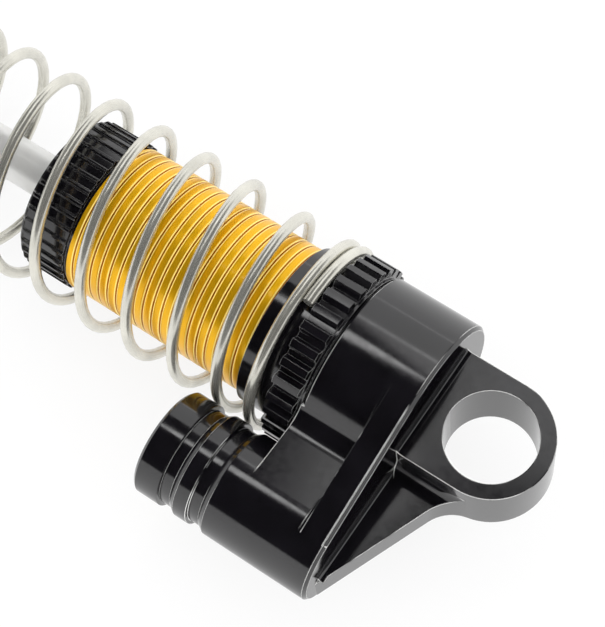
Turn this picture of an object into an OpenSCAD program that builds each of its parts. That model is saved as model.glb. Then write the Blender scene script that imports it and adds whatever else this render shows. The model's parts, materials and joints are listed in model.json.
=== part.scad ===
// Piggyback coil-over damper. The origin is the centre of the upper eye's bore.
// +X runs along the damper towards the lower rod end, +Y towards the reservoir, +Z along the eye's bore.

/* [Upper eye] */
// Diameter of the upper eye's bore
eye_bore_d = 6.8; // [5:0.1:7.4]
// Outside diameter of the upper eye, and width of its tongue
eye_outer_d = 9.1; // [8.6:0.1:11]
// Thickness of the eye and its tongue
eye_thickness = 5.5; // [4:0.1:7]
// Distance from the eye's centre to the housing's end face
eye_to_end_face = 4.9; // [4.6:0.1:8]

/* [Housing] */
// Outside diameter of the housing's main cap
cap_d = 14.2; // [13.8:0.1:15]
// Length of the main cap from the end face to its rim
cap_length = 7.15; // [6.8:0.05:9]
// Thickness of the wall behind the end face
end_wall = 1.7; // [1.2:0.1:2]
// Depth of the oil space between the end wall and the body's seal
oil_space_length = 0.8; // [0.8:0.1:1.4]
// Thickness of the end plate above the hollows behind it
plate_edge = 0.5; // [0.4:0.05:1]
// Radius of the hollows beside the cap and behind the end plate
hollow_r = 2; // [1:0.1:2.2]
// Slope of the web's faces towards the reservoir
web_slope = 8; // [2:1:10]
// Chamfer on the housing's outer edges
edge_chamfer = 0.25; // [0.1:0.05:0.4]
// Radius of the oil passage to the reservoir
oil_passage_r = 0.35; // [0.2:0.05:0.35]

/* [Gusset] */
// Angle of the gusset's outer edge from the Y axis
gusset_angle = 22.5; // [20:0.5:25]
// Radius of the hollow corner where the gusset meets the eye
gusset_corner_r = 3; // [2:0.1:4]
// Height of the gusset's upper face above the centre plane
gusset_top_z = 0; // [-0.5:0.1:0.5]
// Radius of the fillet between the gusset's upper face and the tongue
tongue_fillet_r = 1.2; // [0.5:0.1:1.8]
// Radius of the fillets along the end face
face_fillet_r = 0.45; // [0.2:0.05:0.6]
// Distance inside the reservoir's outer side at which the gusset ends
gusset_inset = 1.2; // [0.9:0.1:2]

/* [Reservoir] */
// Outside diameter of the reservoir
reservoir_d = 8.3; // [8:0.1:9]
// Diameter of the reservoir's bore
reservoir_bore_d = 6.9; // [6:0.1:7]
// Length of the reservoir tube from the end face
reservoir_length = 12.7; // [12.5:0.1:16]
// Gap between the reservoir and the adjuster nut's flange
reservoir_side_gap = 0.3; // [0.3:0.05:1]
// Depth of the two necks turned into the reservoir's outside
neck_depth = 0.32; // [0.15:0.01:0.4]
// Width of each neck
neck_w = 0.9; // [0.4:0.05:1]
// Length of the taper that leads into each neck
neck_taper = 0.5; // [0.2:0.05:0.6]
// Width of the full-size land between the necks
land_w = 1.1; // [0.3:0.05:1.2]
// Thickness of the end cap's flange
end_cap_flange = 2.15; // [1:0.05:2.5]
// Length of the end cap's plug inside the tube
end_cap_plug = 2.4; // [2:0.1:2.5]
// Diameter of the reservoir's seal rings in section
small_seal_section = 0.7; // [0.6:0.05:0.8]
// Length of the floating piston
floating_piston_length = 2.2; // [1.6:0.1:2.2]

/* [Threaded body] */
// Outside diameter of the body's thread
thread_d = 12; // [11.4:0.1:12.4]
// Pitch of the body's thread
thread_pitch = 0.8; // [0.7:0.05:1.5]
// Depth of the thread grooves
thread_depth = 0.2; // [0.15:0.05:0.4]
// Width of a thread groove at its mouth
thread_groove_w = 0.3; // [0.2:0.05:0.4]
// Width of a thread groove at its bottom
thread_root_w = 0.1; // [0.05:0.05:0.15]
// Diameter of the body's bore
body_bore_d = 9.2; // [8.4:0.1:9.6]
// Step from the body's bore in to the oil space in front of it
oil_space_step = 0.2; // [0:0.05:0.4]
// Length of the threaded part of the body
threaded_length = 25; // [24.5:0.1:32]
// Thickness of the wall between the oil chamber and the rod seals
seal_wall = 0.8; // [0.6:0.1:1.2]
// Section of the seal ring between body and housing
body_seal_section = 0.85; // [0.7:0.05:1]

/* [Lower cap] */
// Outside diameter of the knurled lower cap
lower_cap_d = 12.4; // [12.2:0.1:13.6]
// Length of the knurled lower cap
lower_cap_length = 4.4; // [4.3:0.1:6]
// Length of the plain collar next to the body
lower_cap_collar = 0.3; // [0.3:0.1:0.9]
// Depth of the plain collar below the ribs
collar_step = 0.45; // [0.4:0.05:0.5]
// Thickness of the lower cap's end wall
lower_cap_wall = 1.4; // [1:0.1:2]
// Number of ribs round the lower cap
rib_count = 36; // [20:1:44]
// Share of the lower cap's edge that its ribs keep
rib_share = 0.3; // [0.25:0.05:0.6]
// Depth of the grooves between the ribs
rib_depth = 0.24; // [0.1:0.01:0.4]
// Diameter of the body's stub inside the lower cap
stub_d = 10.6; // [10:0.1:11]

/* [Rod seals] */
// Section of each rod seal ring
rod_seal_section = 1.2; // [0.9:0.05:1.3]
// Thickness of the spacer between the rod seals
seal_spacer = 0.5; // [0.4:0.1:0.8]
// Length of the rod guide
rod_guide_length = 1; // [0.7:0.05:1.1]

/* [Adjuster nut] */
// Outside diameter of the nut's toothed flange
nut_flange_d = 15.2; // [14.6:0.1:17]
// Width of the nut's toothed flange
nut_flange_w = 2.2; // [2:0.1:3.5]
// Thickness of the nut's hub over the thread
nut_hub_wall = 0.4; // [0.3:0.05:0.6]
// Length of the nut's hub
nut_hub_length = 3; // [2:0.1:5]
// Number of teeth round the flange
tooth_count = 26; // [12:1:30]
// Depth of the notches between the teeth
notch_depth = 0.55; // [0.2:0.05:0.7]
// Distance between the nut's flange and the cap's rim at the least preload
nut_rim_gap = 0.3; // [0.2:0.05:2]
// Diameter of the nut's collar beside the cap's rim
nut_collar_d = 13.8; // [12.8:0.1:14]
// Section of the friction ring inside the nut
nut_ring_section = 0.7; // [0.5:0.05:0.8]

/* [Spring] */
// Diameter of the spring wire
wire_d = 0.87; // [0.7:0.01:1.1]
// Gap between the turns that are closed at each end
closed_gap = 0.43; // [0.41:0.01:0.6]
// Number of turns of the spring
coil_turns = 12.5; // [10.75:0.25:13.25]
// Gap between the spring and the hub inside it
spring_hub_gap = 0.2; // [0.1:0.05:0.3]
// Gap between the spring and its seats
spring_seat_gap = 0.08; // [0.05:0.01:0.3]

/* [Rod] */
// Diameter of the rod
rod_d = 3.5; // [3:0.1:4]
// Stroke of the rod
stroke = 18; // [10:0.5:18.2]
// Diameter of the rod's threaded nose
rod_nose_d = 2.5; // [2:0.1:2.8]
// Thickness of the piston
piston_length = 2.5; // [2:0.1:3]
// Radius of each oil hole in the piston
piston_hole_r = 0.5; // [0.3:0.05:0.7]
// Number of oil holes in the piston
piston_hole_count = 4; // [2:1:6]
// Thickness of the piston nut
piston_nut_length = 2; // [1.5:0.1:2.2]
// Width of the piston nut across its flats
piston_nut_flats = 4.3; // [3.6:0.1:5]
// Thickness of the piston washer
piston_washer_length = 0.35; // [0.2:0.05:0.5]
// Outside diameter of the piston washer
piston_washer_d = 5.5; // [4:0.1:6.5]
// Length of the bump stop
bump_stop_length = 2.5; // [1.5:0.1:5]
// Outside diameter of the bump stop
bump_stop_d = 6.6; // [5:0.1:8]
// Taper at each end of the bump stop
bump_stop_taper = 0.5; // [0.2:0.1:0.7]

/* [Spring cup] */
// Distance that the cup's flange stands out past the spring
cup_margin = 0.3; // [0.1:0.1:1.5]
// Thickness of the spring cup's flange
cup_flange = 1.2; // [0.8:0.1:2]
// Height of the cup's boss inside the spring
cup_boss_height = 1.4; // [1:0.1:3]
// Length of the cup's tapered skirt
cup_skirt = 2.2; // [1.8:0.1:4]
// Wall of the skirt at its end, around the rod end's shank
cup_skirt_wall = 1; // [0.6:0.1:2]

/* [Rod end] */
// Distance between the upper eye's centre and the lower ball's centre
eye_to_ball = 80; // [79:0.5:95]
// Diameter of the lower ball
ball_d = 6.8; // [5.8:0.1:7]
// Diameter of the ball's bore
ball_bore_d = 3; // [2:0.1:3.2]
// Width across the ball's end faces
ball_width = 7; // [6:0.1:9]
// Diameter of the collars on both sides of the ball
ball_collar_d = 4.4; // [4:0.1:4.8]
// Outside diameter of the rod end's ring
ring_outer_d = 10; // [9.6:0.1:12]
// Width of the rod end's ring
ring_width = 4.8; // [4:0.1:5.2]
// Diameter of the rod end's shank
shank_d = 6; // [5:0.1:6.4]
// Length of rod screwed into the rod end
rod_grip = 7; // [5:0.1:9]

/* [Hidden] */
$fn = 64;

// Radial clearance between pieces that stay together
fit = 0.02;
// Radial clearance between pieces that turn or slide
running_fit = 0.04;
// Radial clearance round the rod where nothing guides it
rod_clearance = 0.12;
// Gap between pieces that lie end to end
slack = 0.05;
// Distance left between the lower cap and the bump stop at full stroke
stroke_margin = 0.3;
// Distance that a cut runs past the faces it opens
overcut = 1;

// Places along X, from the upper eye to the lower ball
face_x = eye_to_end_face;
cavity_x = face_x + end_wall;
seal_seat_x = cavity_x + oil_space_length;
body_x = seal_seat_x + body_seal_section + slack;
cap_rim_x = face_x + cap_length;
thread_end_x = body_x + threaded_length;
lower_cap_end_x = thread_end_x + lower_cap_length;
stub_end_x = lower_cap_end_x - lower_cap_wall;
seal_stack = 2 * rod_seal_section + seal_spacer + rod_guide_length + slack;
seal_pocket_x = stub_end_x - seal_stack;
chamber_end_x = seal_pocket_x - seal_wall;
piston_washer_x = chamber_end_x - slack - piston_washer_length;
piston_x = piston_washer_x - piston_length;
piston_nut_x = piston_x - piston_nut_length;
nut_x = cap_rim_x + nut_rim_gap;
nut_seat_x = nut_x + nut_flange_w;
nut_end_x = nut_seat_x + nut_hub_length;
bump_stop_x = lower_cap_end_x + stroke + stroke_margin;
cup_boss_x = bump_stop_x + bump_stop_length + slack;
cup_seat_x = cup_boss_x + cup_boss_height;
cup_back_x = cup_seat_x + cup_flange;
cup_end_x = cup_back_x + cup_skirt;
rod_end_x = cup_back_x + 2 * slack;
rod_tail_x = rod_end_x + rod_grip;

// Radii shared by pieces that fit one another
eye_r = eye_outer_d / 2;
half_eye = eye_thickness / 2;
cap_r = cap_d / 2;
reservoir_r = reservoir_d / 2;
reservoir_bore_r = reservoir_bore_d / 2;
thread_r = thread_d / 2;
body_bore_r = body_bore_d / 2;
rod_r = rod_d / 2;
nose_r = rod_nose_d / 2;
flange_r = nut_flange_d / 2;
hub_r = thread_r + nut_hub_wall;
seal_pocket_r = rod_r + fit + rod_seal_section + fit;
nut_groove_r = thread_r + fit + nut_ring_section + fit;
reservoir_y = flange_r + reservoir_side_gap + reservoir_r;
wire_r = wire_d / 2;
collar_r = lower_cap_d / 2 - collar_step;
oil_cavity_r = body_bore_r - oil_space_step;
oil_passage_x = cavity_x + oil_passage_r;

// Steps along the outside of the reservoir, measured back from the end cap's flange
tube_end_x = face_x + reservoir_length;
outer_neck_x = tube_end_x - neck_w;
outer_taper_x = outer_neck_x - neck_taper;
land_x = outer_taper_x - land_w;
inner_neck_x = land_x - neck_w;
plain_end_x = inner_neck_x - neck_taper;
neck_r = reservoir_r - neck_depth;
plug_x = tube_end_x - end_cap_plug;
floating_piston_x = oil_passage_x + oil_passage_r + 2 * slack;
small_groove_w = small_seal_section + slack;
reservoir_seal_groove_r = reservoir_bore_r - fit - small_seal_section - fit;

// End plate: the outline that touches both cylinders
tangent_sin = (cap_r - reservoir_r) / reservoir_y;
tangent_cos = sqrt(1 - tangent_sin * tangent_sin);

// Web: a floor that touches the reservoir, and the place of a ball that rests on the floor and the cap
floor_along = [cos(web_slope), sin(web_slope)];
floor_normal = [-sin(web_slope), cos(web_slope)];
floor_height = reservoir_r + reservoir_y * floor_normal[0];
floor_end = [reservoir_y, 0] + reservoir_r * floor_normal;
ball_ring_r = cap_r + hollow_r;
ball_height = floor_height + hollow_r;
ball_along = sqrt(pow(ball_ring_r, 2) - pow(ball_height, 2));
ball_centre = ball_along * floor_along + ball_height * floor_normal;
hollow_x = face_x + plate_edge + hollow_r;
// Distance short of the hollows' lowest line at which the end plate stops, so that a crease shows
crease = 0.2;

// Gusset outline, in the plane of the eye
gusset_y = reservoir_y + reservoir_r - gusset_inset;
gusset_normal = [-cos(gusset_angle), sin(gusset_angle)];
gusset_along = [sin(gusset_angle), cos(gusset_angle)];
gusset_offset = face_x * gusset_normal[0] + gusset_y * gusset_normal[1];
corner_a = gusset_corner_r + gusset_offset;
corner_b = sqrt(pow(eye_r + gusset_corner_r, 2) - corner_a * corner_a);
corner_centre = corner_a * gusset_normal + corner_b * gusset_along;
corner_foot = corner_centre - gusset_corner_r * gusset_normal;

// The spring: one ring of wire points for each eighth of a turn
rings_per_turn = 8;
wire_sides = 6;
// Turns over which the pitch opens next to a closed turn
ramp_turns = 1.5;
// Angle at which the wire starts, with the flat of a chord towards the reservoir
coil_start_angle = 67.5;
ring_count = round(coil_turns * rings_per_turn);
wire_flat_r = wire_r * cos(180 / wire_sides);
coil_r = (hub_r + spring_hub_gap + wire_flat_r) / cos(180 / rings_per_turn);
closed_pitch = wire_d + closed_gap;
coil_start_x = nut_seat_x + spring_seat_gap + wire_r;
coil_end_x = cup_seat_x - spring_seat_gap - wire_r;
// Travel along the axis after t turns from an end that closes at closed_pitch
function end_travel(t) =
    t < 1 ? closed_pitch * t :
    t < 1 + ramp_turns ?
        closed_pitch * t + (open_pitch - closed_pitch) * pow(t - 1, 2) / (2 * ramp_turns) :
    closed_pitch * t + (open_pitch - closed_pitch) * (t - 1 - ramp_turns / 2);
// The open pitch that fills the length between the two seats
open_pitch = closed_pitch
    + (coil_end_x - coil_start_x - closed_pitch * coil_turns) / (coil_turns - 2 - ramp_turns);
function coil_x(t) = t < coil_turns / 2 ?
    coil_start_x + end_travel(t) :
    coil_end_x - end_travel(coil_turns - t);
function coil_angle(t) = coil_start_angle + 360 * t;
function ring_turn(i) = coil_turns * i / ring_count;
function coil_point(t) =
    [coil_x(t), coil_r * cos(coil_angle(t)), coil_r * sin(coil_angle(t))];
function ring_point(t, side) =
    let(a = coil_angle(t), w = 360 * side / wire_sides)
    coil_point(t) + wire_r * [cos(w), sin(w) * cos(a), sin(w) * sin(a)];
// Distance between two turns, less the wire itself, at each ring
turn_gaps = [
    for (i = [0 : ring_count - rings_per_turn])
        norm(coil_point(ring_turn(i + rings_per_turn)) - coil_point(ring_turn(i))) - wire_d
];
echo(least_gap_between_turns = min(turn_gaps), open_pitch = open_pitch);

// Cylinder along X between two places
module x_cylinder(r, from_x, to_x) {
    translate([from_x, 0, 0])
        rotate([0, 90, 0])
            cylinder(r = r, h = to_x - from_x);
}

// Solid turned about the X axis from points given as [place along X, radius]
module x_turned(points) {
    rotate([90, 0, 90])
        rotate_extrude()
            polygon([for (p = points) [p[1], p[0]]]);
}

// Prism along X whose outline is drawn in Y and Z
module x_prism(from_x, to_x) {
    translate([from_x, 0, 0])
        rotate([90, 0, 90])
            linear_extrude(height = to_x - from_x)
                children();
}

// Ring of round section about the X axis
module x_ring(mean_r, section, at_x) {
    translate([at_x, 0, 0])
        rotate([0, 90, 0])
            rotate_extrude()
                translate([mean_r, 0])
                    circle(d = section, $fn = 24);
}

// Hollow fillet in the corner of two walls, drawn in the plane of its section
module corner_fillet(r) {
    difference() {
        translate([-slack, -slack])
            square(r + slack);
        translate([r, r])
            circle(r = r);
    }
}

// Both cylinders' common tangent outline, drawn in Y and Z
module tangent_outline() {
    polygon([
        [cap_r * tangent_sin, cap_r * tangent_cos],
        [reservoir_y + reservoir_r * tangent_sin, reservoir_r * tangent_cos],
        [reservoir_y + reservoir_r * tangent_sin, -reservoir_r * tangent_cos],
        [cap_r * tangent_sin, -cap_r * tangent_cos]
    ]);
}

// Web between the cylinders with a hollow against the cap, upper half
module web_outline() {
    polygon([[0, 0], [reservoir_y, 0], floor_end, floor_height * floor_normal]);
    difference() {
        polygon([[0, 0], ball_along * floor_along, ball_centre]);
        translate(ball_centre)
            circle(r = hollow_r);
    }
}

// Hollow behind the end plate, along the web's upper face
module web_hollow() {
    translate([hollow_x, ball_centre[0], ball_centre[1]])
        rotate([web_slope - 90, 0, 0])
            cylinder(r = hollow_r, h = reservoir_y);
}

module end_plate() {
    difference() {
        x_prism(face_x, hollow_x - crease)
            tangent_outline();
        x_ring(ball_ring_r, 2 * hollow_r, hollow_x);
        web_hollow();
        mirror([0, 0, 1])
            web_hollow();
    }
}

// Gusset seen along the eye's bore
module gusset_outline() {
    difference() {
        polygon([
            [0, 0], corner_centre, corner_foot, [face_x, gusset_y],
            [face_x + overcut, gusset_y], [face_x + overcut, 0]
        ]);
        translate(corner_centre)
            circle(r = gusset_corner_r);
    }
}

module gusset() {
    translate([0, 0, -half_eye])
        linear_extrude(height = half_eye + gusset_top_z)
            gusset_outline();
    intersection() {
        translate([0, 0, -half_eye])
            linear_extrude(height = eye_thickness)
                gusset_outline();
        translate([0, eye_r, gusset_top_z])
            x_prism(-eye_r, face_x + slack)
                corner_fillet(tongue_fillet_r);
    }
}

// Fillet along the end face above a face at height z
module face_fillet(z, from_y, to_y) {
    translate([face_x, to_y, z])
        rotate([90, 0, 0])
            linear_extrude(height = to_y - from_y)
                mirror([1, 0])
                    corner_fillet(face_fillet_r);
}

module tongue() {
    cylinder(r = eye_r, h = eye_thickness, center = true);
    translate([0, -eye_r, -half_eye])
        cube([face_x + slack, eye_outer_d, eye_thickness]);
    face_fillet(half_eye, -eye_r, eye_r);
    mirror([0, 0, 1])
        face_fillet(half_eye, -eye_r, eye_r);
    face_fillet(gusset_top_z, eye_r, gusset_y - face_fillet_r);
}

// Wedge that breaks the straight edge of the end face, upper side
module edge_wedge() {
    translate([face_x, cap_r * tangent_sin, cap_r * tangent_cos])
        rotate([-asin(tangent_sin), 0, 0])
            translate([0, reservoir_y * tangent_cos, 0])
                rotate([90, 0, 0])
                    linear_extrude(height = reservoir_y * tangent_cos)
                        polygon([
                            [edge_chamfer + overcut, overcut], [-overcut, overcut],
                            [-overcut, -overcut - edge_chamfer]
                        ]);
}

module housing_outside() {
    x_turned([
        [face_x, 0], [face_x, cap_r - edge_chamfer], [face_x + edge_chamfer, cap_r],
        [cap_rim_x - edge_chamfer, cap_r], [cap_rim_x, cap_r - edge_chamfer], [cap_rim_x, 0]
    ]);
    translate([0, reservoir_y, 0])
        x_turned([
            [face_x, 0], [face_x, reservoir_r - edge_chamfer], [face_x + edge_chamfer, reservoir_r],
            [plain_end_x, reservoir_r], [inner_neck_x, neck_r], [land_x, neck_r],
            [land_x, reservoir_r], [outer_taper_x, reservoir_r], [outer_neck_x, neck_r],
            [tube_end_x, neck_r], [tube_end_x, 0]
        ]);
    end_plate();
    x_prism(face_x, cap_rim_x) {
        web_outline();
        mirror([0, 1])
            web_outline();
    }
    tongue();
    gusset();
}

module housing() {
    color("#1b1a1d")
        difference() {
            housing_outside();
            edge_wedge();
            mirror([0, 0, 1])
                edge_wedge();
            cylinder(d = eye_bore_d, h = eye_thickness + 2 * overcut, center = true);
            x_cylinder(oil_cavity_r, cavity_x, body_x);
            x_cylinder(thread_r + fit, seal_seat_x, cap_rim_x + overcut);
            translate([0, reservoir_y, 0])
                x_cylinder(reservoir_bore_r, cavity_x, tube_end_x + overcut);
            translate([oil_passage_x, 0, 0])
                rotate([-90, 0, 0])
                    cylinder(r = oil_passage_r, h = reservoir_y);
        }
}

// Crests and grooves of the body's thread as [place along X, radius] points
function thread_points() = [
    for (i = [0 : floor(threaded_length / thread_pitch) - 1])
        each let(x = body_x + (i + 0.5) * thread_pitch) [
            [x - thread_groove_w / 2, thread_r],
            [x - thread_root_w / 2, thread_r - thread_depth],
            [x + thread_root_w / 2, thread_r - thread_depth],
            [x + thread_groove_w / 2, thread_r]
        ]
];

module threaded_body() {
    color("#e0a312")
        difference() {
            x_turned(concat(
                [[body_x, 0], [body_x, thread_r]],
                thread_points(),
                [
                    [thread_end_x, thread_r], [thread_end_x, stub_d / 2],
                    [stub_end_x - slack, stub_d / 2], [stub_end_x - slack, 0]
                ]
            ));
            x_cylinder(body_bore_r, body_x - overcut, chamber_end_x);
            x_cylinder(rod_r + rod_clearance, chamber_end_x - overcut, stub_end_x);
            x_cylinder(seal_pocket_r, seal_pocket_x, stub_end_x + overcut);
        }
}

module body_seal() {
    color("#202020")
        x_ring(
            (oil_cavity_r + thread_r + slack) / 2,
            body_seal_section,
            seal_seat_x + (body_seal_section + slack) / 2
        );
}

module lower_cap() {
    knurl_x = thread_end_x + lower_cap_collar;
    knurl_r = lower_cap_d / 2;
    groove_half_w = PI * knurl_r * (1 - rib_share) / rib_count;
    color("#17171a")
        difference() {
            x_turned([
                [thread_end_x + slack, 0], [thread_end_x + slack, collar_r],
                [knurl_x, collar_r], [knurl_x, knurl_r],
                [lower_cap_end_x - edge_chamfer, knurl_r], [lower_cap_end_x, knurl_r - edge_chamfer],
                [lower_cap_end_x, 0]
            ]);
            x_cylinder(stub_d / 2 + fit, thread_end_x - overcut, stub_end_x);
            x_cylinder(rod_r + rod_clearance, stub_end_x - overcut, lower_cap_end_x + overcut);
            x_prism(knurl_x - slack, lower_cap_end_x + overcut)
                for (i = [0 : rib_count - 1])
                    rotate(360 * i / rib_count)
                        translate([knurl_r, 0])
                            rib_groove(groove_half_w);
        }
}

// Section of one groove between two ribs of the lower cap, with sides that lean out by a third of its depth
module rib_groove(half_width) {
    root = half_width - rib_depth / 3;
    polygon([
        [-rib_depth, -root], [-rib_depth, root],
        [0, half_width], [overcut, half_width], [overcut, -half_width], [0, -half_width]
    ]);
}

module rod_seal_upper() {
    color("#2a2a2a")
        x_ring(rod_r + fit + rod_seal_section / 2, rod_seal_section, seal_pocket_x + rod_seal_section / 2);
}

module seal_spacer_ring() {
    spacer_x = seal_pocket_x + rod_seal_section;
    color("#e8e4da")
        difference() {
            x_cylinder(seal_pocket_r - fit, spacer_x, spacer_x + seal_spacer);
            x_cylinder(rod_r + rod_clearance, spacer_x - overcut, spacer_x + seal_spacer + overcut);
        }
}

module rod_seal_lower() {
    seal_x = seal_pocket_x + 1.5 * rod_seal_section + seal_spacer;
    color("#2a2a2a")
        x_ring(rod_r + fit + rod_seal_section / 2, rod_seal_section, seal_x);
}

module rod_guide() {
    guide_x = stub_end_x - rod_guide_length - slack / 2;
    color("#e8e4da")
        difference() {
            x_cylinder(seal_pocket_r - fit, guide_x, guide_x + rod_guide_length);
            x_cylinder(rod_r + running_fit, guide_x - overcut, guide_x + rod_guide_length + overcut);
        }
}

module reservoir_end_cap() {
    end_x = tube_end_x + end_cap_flange;
    groove_centre_x = plug_x + end_cap_plug / 2;
    color("#1b1a1d")
        translate([0, reservoir_y, 0])
            x_turned([
                [plug_x, 0], [plug_x, reservoir_bore_r - fit],
                [groove_centre_x - small_groove_w / 2, reservoir_bore_r - fit],
                [groove_centre_x - small_groove_w / 2, reservoir_seal_groove_r],
                [groove_centre_x + small_groove_w / 2, reservoir_seal_groove_r],
                [groove_centre_x + small_groove_w / 2, reservoir_bore_r - fit],
                [tube_end_x, reservoir_bore_r - fit], [tube_end_x, reservoir_r],
                [end_x - edge_chamfer, reservoir_r], [end_x, reservoir_r - edge_chamfer], [end_x, 0]
            ]);
}

module end_cap_seal() {
    color("#2a2a2a")
        translate([0, reservoir_y, 0])
            x_ring(
                reservoir_bore_r - fit - small_seal_section / 2,
                small_seal_section,
                plug_x + end_cap_plug / 2
            );
}

module floating_piston() {
    centre_x = floating_piston_x + floating_piston_length / 2;
    end_x = floating_piston_x + floating_piston_length;
    outer_r = reservoir_bore_r - running_fit;
    color("#d8d8d4")
        translate([0, reservoir_y, 0])
            x_turned([
                [floating_piston_x, 0], [floating_piston_x, outer_r],
                [centre_x - small_groove_w / 2, outer_r],
                [centre_x - small_groove_w / 2, reservoir_seal_groove_r],
                [centre_x + small_groove_w / 2, reservoir_seal_groove_r],
                [centre_x + small_groove_w / 2, outer_r],
                [end_x, outer_r], [end_x, 0]
            ]);
}

module floating_piston_seal() {
    color("#2a2a2a")
        translate([0, reservoir_y, 0])
            x_ring(
                reservoir_bore_r - fit - small_seal_section / 2,
                small_seal_section,
                floating_piston_x + floating_piston_length / 2
            );
}

// The notches take half of the flange's edge and narrow to half their width at their roots
module adjuster_nut() {
    notch_w = PI * flange_r / tooth_count;
    ring_x = nut_x + nut_flange_w / 2;
    collar_x = cap_rim_x + slack;
    color("#17171a")
        difference() {
            x_turned([
                [collar_x, 0], [collar_x, nut_collar_d / 2], [nut_x, nut_collar_d / 2],
                [nut_x, flange_r - edge_chamfer], [nut_x + edge_chamfer, flange_r],
                [nut_seat_x - edge_chamfer, flange_r], [nut_seat_x, flange_r - edge_chamfer],
                [nut_seat_x, hub_r], [nut_end_x - edge_chamfer, hub_r],
                [nut_end_x, hub_r - edge_chamfer], [nut_end_x, 0]
            ]);
            x_cylinder(thread_r + running_fit, nut_x - overcut, nut_end_x + overcut);
            x_cylinder(
                nut_groove_r,
                ring_x - (nut_ring_section + slack) / 2,
                ring_x + (nut_ring_section + slack) / 2
            );
            x_prism(nut_x - overcut, nut_seat_x + overcut)
                for (i = [0 : tooth_count - 1])
                    rotate(360 * i / tooth_count)
                        translate([flange_r, 0])
                            polygon([
                                [-notch_depth, -notch_w / 4], [-notch_depth, notch_w / 4],
                                [notch_depth, notch_w * 3 / 4], [notch_depth, -notch_w * 3 / 4]
                            ]);
        }
}

module nut_friction_ring() {
    color("#2a2a2a")
        x_ring(thread_r + fit + nut_ring_section / 2, nut_ring_section, nut_x + nut_flange_w / 2);
}

// The spring is one tube of triangles: rings of wire points joined in order, with a fan at each end
module main_spring() {
    last_ring = ring_count * wire_sides;
    color("#b9b6ae")
        polyhedron(
            points = [
                for (i = [0 : ring_count])
                    for (side = [0 : wire_sides - 1])
                        ring_point(ring_turn(i), side)
            ],
            faces = concat(
                [
                    for (i = [0 : ring_count - 1])
                        for (side = [0 : wire_sides - 1])
                            let(next_side = (side + 1) % wire_sides, ring = i * wire_sides)
                            each [
                                [ring + side, ring + next_side, ring + wire_sides + side],
                                [ring + next_side, ring + wire_sides + next_side, ring + wire_sides + side]
                            ]
                ],
                [for (side = [1 : wire_sides - 2]) [0, side + 1, side]],
                [for (side = [1 : wire_sides - 2]) [last_ring, last_ring + side, last_ring + side + 1]]
            )
        );
}

module rod() {
    color("#c9c9c9")
        x_turned([
            [piston_nut_x, 0], [piston_nut_x, nose_r], [chamber_end_x - slack, nose_r],
            [chamber_end_x - slack, rod_r], [rod_tail_x, rod_r], [rod_tail_x, 0]
        ]);
}

module piston() {
    hole_circle_r = (nose_r + body_bore_r) / 2;
    color("#f0efe8")
        difference() {
            x_cylinder(body_bore_r - running_fit, piston_x, piston_x + piston_length);
            x_cylinder(nose_r + fit, piston_x - overcut, piston_x + piston_length + overcut);
            for (i = [0 : piston_hole_count - 1])
                rotate([360 * i / piston_hole_count, 0, 0])
                    translate([0, hole_circle_r, 0])
                        x_cylinder(piston_hole_r, piston_x - overcut, piston_x + piston_length + overcut);
        }
}

module piston_nut() {
    flats = 6;
    corner_r = piston_nut_flats / 2 / cos(180 / flats);
    color("#b0b0b0")
        difference() {
            translate([piston_nut_x, 0, 0])
                rotate([0, 90, 0])
                    cylinder(r = corner_r, h = piston_nut_length, $fn = flats);
            x_cylinder(nose_r + fit, piston_nut_x - overcut, piston_x + overcut);
        }
}

module piston_washer() {
    end_x = piston_washer_x + piston_washer_length;
    color("#b0b0b0")
        difference() {
            x_cylinder(piston_washer_d / 2, piston_washer_x, end_x);
            x_cylinder(nose_r + fit, piston_washer_x - overcut, end_x + overcut);
        }
}

module bump_stop() {
    end_x = bump_stop_x + bump_stop_length;
    outer_r = bump_stop_d / 2;
    color("#101010")
        difference() {
            x_turned([
                [bump_stop_x, 0], [bump_stop_x, outer_r - bump_stop_taper],
                [bump_stop_x + bump_stop_taper, outer_r], [end_x - bump_stop_taper, outer_r],
                [end_x, outer_r - bump_stop_taper], [end_x, 0]
            ]);
            x_cylinder(rod_r + fit, bump_stop_x - overcut, end_x + overcut);
        }
}

module spring_cup() {
    boss_r = hub_r;
    cup_r = coil_r + wire_r + cup_margin;
    socket_r = shank_d / 2 + running_fit;
    color("#17171a")
        difference() {
            x_turned([
                [cup_boss_x, 0], [cup_boss_x, boss_r - edge_chamfer],
                [cup_boss_x + edge_chamfer, boss_r], [cup_seat_x, boss_r],
                [cup_seat_x, cup_r - edge_chamfer], [cup_seat_x + edge_chamfer, cup_r],
                [cup_back_x, cup_r], [cup_end_x, socket_r + cup_skirt_wall], [cup_end_x, 0]
            ]);
            x_cylinder(rod_r + running_fit, cup_boss_x - overcut, cup_end_x + overcut);
            x_cylinder(socket_r, cup_back_x + slack, cup_end_x + overcut);
            translate([cup_boss_x - overcut, -cup_r - overcut, -rod_r - running_fit])
                cube([cup_end_x - cup_boss_x + 2 * overcut, cup_r + overcut, rod_d + 2 * running_fit]);
        }
}

module rod_end() {
    ring_r = ring_outer_d / 2;
    shank_end_x = eye_to_ball - (ball_d / 2 + ring_r) / 2;
    color("#141416")
        difference() {
            union() {
                x_cylinder(shank_d / 2, rod_end_x, shank_end_x);
                translate([eye_to_ball, 0, 0])
                    cylinder(r = ring_r, h = ring_width, center = true);
            }
            x_cylinder(rod_r + fit, rod_end_x - overcut, rod_tail_x + slack);
            translate([eye_to_ball, 0, 0])
                sphere(d = ball_d + 2 * running_fit);
        }
}

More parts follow.
